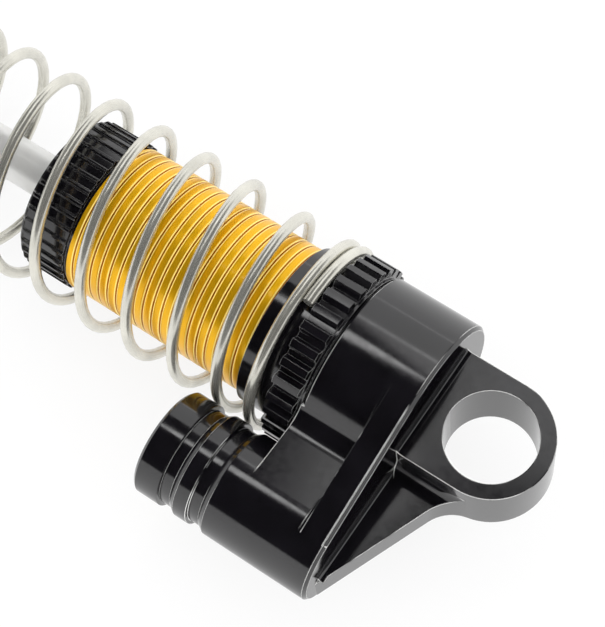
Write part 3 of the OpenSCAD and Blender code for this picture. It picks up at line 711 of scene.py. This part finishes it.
def thread_shell(tree, given):
    """Wrap a helical groove round the body and join it to the turned core."""
    get = given.outputs
    # One pitch in steps along the body, each with a width, a depth and a sign: 1 down, -1 up
    rest = math_of(tree, "MULTIPLY", math_of(tree, "SUBTRACT", get["Pitch"], get["Mouth"]), 0.5)
    rest = math_of(tree, "SUBTRACT", rest, get["Edge"], get["Edge"])
    wall = math_of(tree, "MULTIPLY", math_of(tree, "SUBTRACT", get["Mouth"], get["Root"]), 0.5)
    root = math_of(tree, "MULTIPLY", get["Root"], 0.5)
    eased = math_of(tree, "MULTIPLY", get["Edge"], EASED_SLOPE)
    fall = math_of(tree, "SUBTRACT", get["Depth"], eased)
    down = [(rest, None), (get["Edge"], None), (get["Edge"], eased), (wall, fall), (root, None)]
    up = [(root, None), (wall, fall), (get["Edge"], eased), (get["Edge"], None), (rest, None)]
    steps = [(width, drop, 1.0) for width, drop in down] + [(width, drop, -1.0) for width, drop in up]
    turns = math_of(tree, "DIVIDE", math_of(tree, "SUBTRACT", get["End"], get["Start"]), get["Pitch"])
    pitches = math_of(tree, "ADD", math_of(tree, "CEIL", turns), 1.0)
    rows = math_of(tree, "MULTIPLY", pitches, float(len(steps)))
    grid = add_node(tree, "GeometryNodeMeshGrid", {
        "Size X": 1.0, "Size Y": 1.0,
        "Vertices X": math_of(tree, "ADD", rows, 1.0),
        "Vertices Y": math_of(tree, "ADD", get["Segments"], 1.0)})
    place = add_node(tree, "ShaderNodeSeparateXYZ", {0: add_node(tree, "GeometryNodeInputPosition")})
    round_share = math_of(tree, "ADD", place.outputs["Y"], 0.5)
    crest = math_of(tree, "MULTIPLY", math_of(tree, "ADD", place.outputs["X"], 0.5), pitches)
    whole = math_of(tree, "FLOOR", crest)
    row = math_of(tree, "MULTIPLY", math_of(tree, "SUBTRACT", crest, whole), float(len(steps)))
    along, drop = [], []
    for i, (width, depth, sign) in enumerate(steps):
        passed = math_of(tree, "SUBTRACT", row, float(i), clamp=True)
        along.append(math_of(tree, "MULTIPLY", passed, width))
        if depth is not None:
            drop.append(math_of(tree, "MULTIPLY", passed, depth, sign))
    # Each row keeps its place on the thread's profile while it climbs one pitch in a turn
    climbed = math_of(tree, "SUBTRACT", math_of(tree, "ADD", whole, round_share), 1.0)
    free_x = math_of(tree, "ADD", get["Start"], math_of(tree, "MULTIPLY", get["Pitch"], climbed), *along)
    x = math_of(tree, "MINIMUM", math_of(tree, "MAXIMUM", free_x, get["Start"]), get["End"])
    from_end = math_of(
        tree, "MINIMUM", math_of(tree, "SUBTRACT", x, get["Start"]), math_of(tree, "SUBTRACT", get["End"], x))
    fade = math_of(tree, "DIVIDE", from_end, get["Run-out"], clamp=True)
    radius = math_of(
        tree, "SUBTRACT", get["Radius"], math_of(tree, "MULTIPLY", math_of(tree, "ADD", *drop), fade))
    turn = math_of(tree, "MULTIPLY", round_share, 2 * math.pi)
    shell = add_node(tree, "GeometryNodeSetPosition", {
        "Geometry": grid.outputs["Mesh"], "Position": on_circle(tree, x, radius, turn)})
    outward = add_node(tree, "GeometryNodeFlipFaces", {0: shell})
    joined = add_node(tree, "GeometryNodeJoinGeometry", {0: outward})
    tree.links.new(get["Geometry"], joined.inputs[0])
    return joined


def opened_turns(tree, turn, start, ramp):
    """Turns' worth of extra pitch gained after a turn, where the pitch opens over a ramp."""
    past = math_of(tree, "SUBTRACT", turn, start)
    on_ramp = math_of(tree, "MINIMUM", math_of(tree, "MAXIMUM", past, 0.0), ramp)
    curve = math_of(tree, "DIVIDE", math_of(tree, "MULTIPLY", on_ramp, on_ramp), ramp, 2.0)
    return math_of(tree, "ADD", curve, math_of(
        tree, "MAXIMUM", math_of(tree, "SUBTRACT", past, ramp), 0.0))


def wire_coil(tree, given):
    """Sweep the round wire along the spring's helix, from one turn to another."""
    get = given.outputs
    span = math_of(tree, "SUBTRACT", get["To Turn"], get["From Turn"])
    steps = math_of(tree, "ADD", math_of(tree, "MULTIPLY", span, get["Steps"]), 1.0)
    line = add_node(tree, "GeometryNodeCurvePrimitiveLine", {
        "Start": (0.0, 0.0, 0.0), "End": (1.0, 0.0, 0.0)})
    path = add_node(tree, "GeometryNodeResampleCurve", {"Curve": line, "Count": steps})
    factor = add_node(tree, "GeometryNodeSplineParameter").outputs["Factor"]
    turn = math_of(tree, "ADD", get["From Turn"], math_of(tree, "MULTIPLY", span, factor))
    last_ramp = math_of(tree, "SUBTRACT", get["Turns"], CLOSED_TURNS, get["Ramp"])
    extra = math_of(
        tree, "SUBTRACT", opened_turns(tree, turn, CLOSED_TURNS, get["Ramp"]),
        opened_turns(tree, turn, last_ramp, get["Ramp"]))
    x = math_of(
        tree, "ADD", get["Start"], math_of(tree, "MULTIPLY", get["Closed Pitch"], turn),
        math_of(tree, "MULTIPLY", get["Extra Pitch"], extra))
    angle_round = math_of(
        tree, "ADD", get["Start Angle"], math_of(tree, "MULTIPLY", turn, 2 * math.pi))
    # Lean and bulge grow over the turn that follows the upright ones at each end
    from_end = math_of(tree, "MINIMUM", turn, math_of(tree, "SUBTRACT", get["Turns"], turn))
    opened = math_of(tree, "SUBTRACT", from_end, UPRIGHT_TURNS, clamp=True)
    radius = math_of(tree, "ADD", get["Radius"], math_of(tree, "MULTIPLY", get["Bulge"], opened))
    cosine = math_of(tree, "COSINE", angle_round)
    x = math_of(
        tree, "SUBTRACT", x, math_of(tree, "MULTIPLY", get["Lean"], radius, opened, cosine))
    coil = add_node(tree, "GeometryNodeSetPosition", {
        "Geometry": path, "Position": on_circle(tree, x, radius, angle_round)})
    lengths = add_node(tree, "GeometryNodeStoreNamedAttribute", {
        "Geometry": coil, "Name": "wire_length",
        "Value": add_node(tree, "GeometryNodeSplineParameter").outputs["Length"]})
    ring = add_node(tree, "GeometryNodeCurvePrimitiveCircle", {
        "Resolution": get["Sides"], "Radius": math_of(tree, "DIVIDE", get["Wire"], 2.0)})
    rounds = add_node(tree, "GeometryNodeStoreNamedAttribute", {
        "Geometry": ring, "Name": "wire_round",
        "Value": add_node(tree, "GeometryNodeSplineParameter").outputs["Factor"]})
    return add_node(tree, "GeometryNodeCurveToMesh", {
        "Curve": lengths, "Profile Curve": rounds, "Fill Caps": True})


# Operators: one for each piece or group of like pieces

class DAMPER_OT_finishes(Operator):
    """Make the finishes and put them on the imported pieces"""

    bl_idname = "damper.finishes"
    bl_label = "Finishes"

    def execute(self, context):
        finish_of_slot = make_finishes()
        toothed = black_anodised("milled_black_anodised_ring", edge=settings().ease.teeth)
        finish_of_piece = {
            "adjuster_nut": toothed, "lower_cap": toothed,
            "reservoir_end_cap": black_anodised("turned_black_anodised_end_cap", RESERVOIR_Y)}
        for node, slot in SLOT_OF.items():
            worn = frame["nodes"][node].data.materials
            worn.clear()
            worn.append(finish_of_piece.get(node, finish_of_slot[slot]))
        return {"FINISHED"}


def finish_of(node):
    """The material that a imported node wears."""
    return frame["nodes"][node].data.materials[0]


class DAMPER_OT_end_plate(Operator):
    """Build the flat back of the end plate between the housing's cylinders"""

    bl_idname = "damper.end_plate"
    bl_label = "End plate"

    def execute(self, context):
        plate = settings().plate
        cap_radius = -BOX["housing"][0].y
        small_radius = BOX["housing"][1].y - RESERVOIR_Y
        lean = math.asin((cap_radius - small_radius) / RESERVOIR_Y)
        inner = cap_radius - plate.wall
        # Corners as (centre's Y, radius, angle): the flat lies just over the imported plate, along the
        # cylinders' common tangent, and both its ends sink into the cylinders
        section = [
            (0.0, cap_radius - plate.sink, lean - plate.overlap), (0.0, cap_radius + plate.cover, lean),
            (RESERVOIR_Y, small_radius + plate.cover, lean),
            (RESERVOIR_Y, small_radius - plate.sink, lean + plate.overlap),
            (RESERVOIR_Y, small_radius - plate.lip, lean), (0.0, inner, plate.foot), (0.0, inner, lean)]
        work = bmesh.new()
        for side in (1, -1):
            rows = [
                [work.verts.new((x, y + r * math.sin(a), side * r * math.cos(a))) for y, r, a in section]
                for x in (plate.end_face + plate.inset, plate.end_face + plate.thickness)
            ]
            grid_faces(work, rows, closed_columns=True)
            for row in rows:
                work.faces.new(row)
        piece = new_piece("end_plate_back", closed_mesh("end_plate_back", work))
        piece.data.materials.append(finish_of("housing"))
        even_faces(piece)
        finish_piece(piece, "damper", SLOT_OF["housing"])
        return {"FINISHED"}


class DAMPER_OT_eased_pieces(Operator):
    """Break the sharp edges of the pieces that keep their CAD shape"""

    bl_idname = "damper.eased_pieces"
    bl_label = "Eased edges"

    def execute(self, context):
        ease = settings().ease
        radii = {
            "reservoir_end_cap": ease.end_cap, "spring_cup": ease.plastic, "rod_end": ease.plastic,
            "pivot_ball": ease.ball}
        for node, radius in radii.items():
            piece = welded_copy("eased_" + node, node)
            piece.data.materials.append(finish_of(node))
            round_edges(piece, radius)
            finish_piece(piece, BODY_OF[node], SLOT_OF[node], node)
        return {"FINISHED"}


class DAMPER_OT_threaded_body(Operator):
    """Build the gold body with its helical thread"""

    bl_idname = "damper.threaded_body"
    bl_label = "Threaded body"

    def execute(self, context):
        cut, knurl = settings().thread, settings().knurl
        thread_end = BODY_START + cut.length
        pocket_start = BOX["rod_seal_upper"][0].x
        bore_end = pocket_start - cut.shoulder
        core = turned([
            (thread_end, THREAD_RADIUS), (thread_end, knurl.stub), (STUB_END, knurl.stub),
            (STUB_END, cut.pocket), (pocket_start, cut.pocket), (pocket_start, knurl.rod_hole),
            (bore_end, knurl.rod_hole), (bore_end, cut.bore),
            (BODY_START, cut.bore), (BODY_START, THREAD_RADIUS)
        ], cut.segments)
        piece = grown("gold_threaded_body", mesh_from("threaded_body_core", core), thread_shell, {
            "Start": BODY_START, "End": thread_end, "Radius": THREAD_RADIUS, "Pitch": cut.pitch,
            "Depth": cut.depth, "Mouth": cut.mouth, "Root": cut.root, "Edge": cut.edge,
            "Run-out": cut.runout, "Segments": cut.segments, "Material": finish_of("threaded_body")})
        finish_piece(piece, "damper", SLOT_OF["threaded_body"], "threaded_body")
        return {"FINISHED"}


class DAMPER_OT_adjuster_nut(Operator):
    """Build the toothed preload nut"""

    bl_idname = "damper.adjuster_nut"
    bl_label = "Preload nut"

    def execute(self, context):
        nut = settings().nut
        crown = (0.0, 0.0)
        columns = tooth(nut.teeth, nut.tip_share, nut.root_share, nut.notch, crown)
        front = NUT_START + nut.collar_width
        seat = front + nut.flange
        profile = [
            (NUT_START, nut.bore, 0.0), (NUT_START, nut.collar, 0.0), (front, nut.collar, 0.0),
            (front, NUT_RADIUS, 1.0), (seat, NUT_RADIUS, 1.0), (seat, nut.hub, 0.0),
            (NUT_END, nut.hub, 0.0), (NUT_END, nut.bore, 0.0)]
        toothed_ring("preload_nut", "adjuster_nut", nut.teeth, profile, columns, nut.edge)
        return {"FINISHED"}


class DAMPER_OT_lower_cap(Operator):
    """Build the ribbed lower cap"""

    bl_idname = "damper.lower_cap"
    bl_label = "Lower cap"

    def execute(self, context):
        cap = settings().knurl
        columns = tooth(cap.ribs, cap.tip_share, cap.root_share, cap.depth)
        collar_end, collar = CAP_START + cap.collar, CAP_RADIUS - cap.collar_step
        socket_end = CAP_END - cap.wall
        profile = [
            (CAP_START, cap.stub, 0.0), (CAP_START, collar, 0.0), (collar_end, collar, 0.0),
            (collar_end, CAP_RADIUS, 1.0), (CAP_END - cap.chamfer, CAP_RADIUS, 1.0),
            (CAP_END, CAP_RADIUS - cap.chamfer, 0.0), (CAP_END, cap.rod_hole, 0.0),
            (socket_end, cap.rod_hole, 0.0), (socket_end, cap.stub, 0.0)]
        toothed_ring("ribbed_lower_cap", "lower_cap", cap.ribs, profile, columns, cap.edge)
        return {"FINISHED"}


class DAMPER_OT_spring(Operator):
    """Build the coil spring in its preloaded and its sprung length"""

    bl_idname = "damper.spring"
    bl_label = "Coil spring"

    def execute(self, context):
        coil = settings().coil
        first, last = COIL_START + coil.wire / 2, COIL_END - coil.wire / 2
        open_turns = coil.turns - 2 * CLOSED_TURNS - coil.ramp_turns
        extra_pitch = (last - first - coil.closed_pitch * coil.turns) / open_turns
        split = first + coil.closed_pitch * coil.split_turn
        split += extra_pitch * (coil.split_turn - CLOSED_TURNS - coil.ramp_turns / 2)
        values = {
            "Start": first, "Radius": coil.radius, "Wire": coil.wire, "Closed Pitch": coil.closed_pitch,
            "Extra Pitch": extra_pitch, "Turns": coil.turns, "Ramp": coil.ramp_turns,
            "Start Angle": coil.start_angle, "Lean": coil.lean, "Bulge": coil.bulge,
            "Steps": coil.steps, "Sides": coil.sides, "Material": finish_of("main_spring")}
        # The first length is left unattached, its place baked into its mesh; the second rides on the damper's
        # body with a mesh of its own
        preloaded = self.make_length("spring_preload_length", None, {
            **values, "From Turn": 0.0, "To Turn": coil.split_turn})
        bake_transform(preloaded)
        sprung = self.make_length("spring_sprung_length", "damper", {
            **values, "From Turn": coil.split_turn, "To Turn": coil.turns})
        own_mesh(sprung)
        return {"FINISHED"}

    def make_length(self, name, body, values):
        """One length of the spring, from one turn to another."""
        piece = grown(name, bpy.data.meshes.new(name), wire_coil, values)
        finish_piece(piece, body, SLOT_OF["main_spring"], "main_spring")
        return piece


class Softbox(NamedTuple):
    """A lamp: its direction in degrees, its distance and size in millimetres, and its radiance."""

    azimuth: float
    elevation: float
    distance: float
    width: float
    height: float
    glow: float


class DAMPER_OT_stage(Operator):
    """Build the floor, the lamps and the camera"""

    bl_idname = "damper.stage"
    bl_label = "Stage"

    def execute(self, context):
        place = settings().stage
        self.make_backdrop(place)
        self.make_lamps(place)
        self.make_camera(place)
        context.scene.view_settings.view_transform = "Standard"
        return {"FINISHED"}

    def make_backdrop(self, place):
        """A round pale floor that curves up into a low wall."""
        angles = [math.pi / 2 * i / place.cove_steps for i in range(place.cove_steps + 1)]
        curve = [(place.cove_radius * (1 - math.cos(a)), place.cove_radius * math.sin(a)) for a in angles]
        cove = [(FLOOR_Z + height, place.floor_radius + reach) for height, reach in curve]
        wall_top = (FLOOR_Z + place.wall_height, place.floor_radius + place.cove_radius)
        work = turned([(FLOOR_Z, 0.0), *cove, wall_top], place.segments, upright=True)
        floor = new_piece("backdrop", closed_mesh("backdrop", work))
        floor.data.shade_smooth()
        floor.data.materials.append(self.make_floor_finish())

    def make_floor_finish(self):
        """Matt white paper, lifted to white for the camera, with a faint shadow kept."""
        material, tree, shader = new_finish("matt_white_paper", Roughness=0.9)
        shader.inputs["Base Color"].default_value = linear(settings().finish.paper)
        rays = add_node(tree, "ShaderNodeLightPath").outputs
        mirrored = math_of(tree, "ADD", rays["Is Glossy Ray"], rays["Is Transmission Ray"])
        seen = math_of(tree, "ADD", rays["Is Camera Ray"], mirrored, clamp=True)
        glow = add_node(tree, "ShaderNodeEmission", {"Color": WHITE, "Strength": 1.0})
        part = math_of(tree, "MULTIPLY", seen, settings().stage.paper_lift)
        mixed = add_node(tree, "ShaderNodeMixShader", {0: part, 1: shader, 2: glow})
        tree.links.new(mixed.outputs[0], tree.nodes["Material Output"].inputs["Surface"])
        return material

    def make_lamps(self, place):
        """Three softboxes on the side away from the reservoir, and a bright room for matt surfaces."""
        lamps = {
            "side_softbox": Softbox(azimuth=14, elevation=34, distance=500, width=260, height=330, glow=1.0),
            "top_softbox": Softbox(azimuth=15, elevation=61, distance=450, width=118, height=195, glow=1.2),
            "strip_lamp": Softbox(azimuth=60, elevation=71, distance=450, width=84, height=46, glow=3.6),
        }
        for name, box in lamps.items():
            data = bpy.data.lights.new(name, "AREA")
            data.shape = "RECTANGLE"
            data.size, data.size_y = box.width * MM, box.height * MM
            # An area lamp's power is its radiance times its area times pi
            data.energy = box.glow * math.pi * data.size * data.size_y
            back = direction(math.radians(box.azimuth), math.radians(box.elevation))
            turn = back.to_track_quat("Z", "Y").to_matrix().to_4x4()
            lamp = bpy.data.objects.new(name, data)
            lamp.matrix_world = Matrix.Translation(back * box.distance * MM) @ turn
            lamp.visible_camera = False
            bpy.context.scene.collection.objects.link(lamp)
        world = bpy.data.worlds.new("studio")
        world.use_nodes = True
        background = world.node_tree.nodes["Background"]
        background.inputs["Color"].default_value = WHITE
        background.inputs["Strength"].default_value = place.room_light
        bpy.context.scene.world = world
        # The room's far walls stay dark in gloss, so that polished black reads as black
        world.cycles_visibility.glossy = False

    def make_camera(self, place):
        """Aim the camera by azimuth, elevation and roll."""
        back = direction(place.azimuth, place.elevation)
        level = Vector((math.cos(place.azimuth), math.sin(place.azimuth), 0))
        rise = back.cross(level)
        right = math.cos(place.roll) * level + math.sin(place.roll) * rise
        up = back.cross(right)
        target = Vector((place.target_x, place.target_y, 0))
        data = bpy.data.cameras.new("camera")
        data.sensor_fit = "HORIZONTAL"
        data.sensor_width = place.sensor
        data.lens = place.lens
        data.clip_start = place.nearest
        camera = bpy.data.objects.new("camera", data)
        turn = Matrix((right, up, back)).transposed().to_4x4()
        camera.matrix_world = Matrix.Translation(target + back * place.distance) @ turn
        bpy.context.scene.collection.objects.link(camera)
        bpy.context.scene.camera = camera


def direction(azimuth, elevation):
    """Unit vector towards an azimuth, counted from -Y, and an elevation."""
    return Vector((
        math.sin(azimuth) * math.cos(elevation), -math.cos(azimuth) * math.cos(elevation),
        math.sin(elevation)))


OPERATORS = [
    DAMPER_OT_finishes, DAMPER_OT_end_plate, DAMPER_OT_eased_pieces, DAMPER_OT_threaded_body,
    DAMPER_OT_adjuster_nut, DAMPER_OT_lower_cap, DAMPER_OT_spring, DAMPER_OT_stage,
]


class DAMPER_PT_dressing(Panel):
    """Lists the damper's pieces in the sidebar"""

    bl_idname = "DAMPER_PT_dressing"
    bl_label = "Damper dressing"
    bl_space_type = "VIEW_3D"
    bl_region_type = "UI"
    bl_category = "Damper"

    def draw(self, context):
        for operator in OPERATORS:
            self.layout.operator(operator.bl_idname)
        for name in PROPERTY_GROUPS:
            group = getattr(context.scene.damper, name)
            box = self.layout.box()
            box.label(text=name.capitalize())
            for prop in group.bl_rna.properties:
                if not prop.is_readonly and prop.identifier != "name":
                    box.prop(group, prop.identifier)


CLASSES = [*PROPERTY_GROUPS.values(), DamperSettings, *OPERATORS, DAMPER_PT_dressing]


def register():
    for cls in CLASSES:
        bpy.utils.register_class(cls)
    bpy.types.Scene.damper = PointerProperty(type=DamperSettings)


def unregister():
    del bpy.types.Scene.damper
    for cls in reversed(CLASSES):
        bpy.utils.unregister_class(cls)


def main():
    register()
    for operator in OPERATORS:
        group, name = operator.bl_idname.split(".")
        getattr(getattr(bpy.ops, group), name)()


if __name__ == "__main__":
    main()
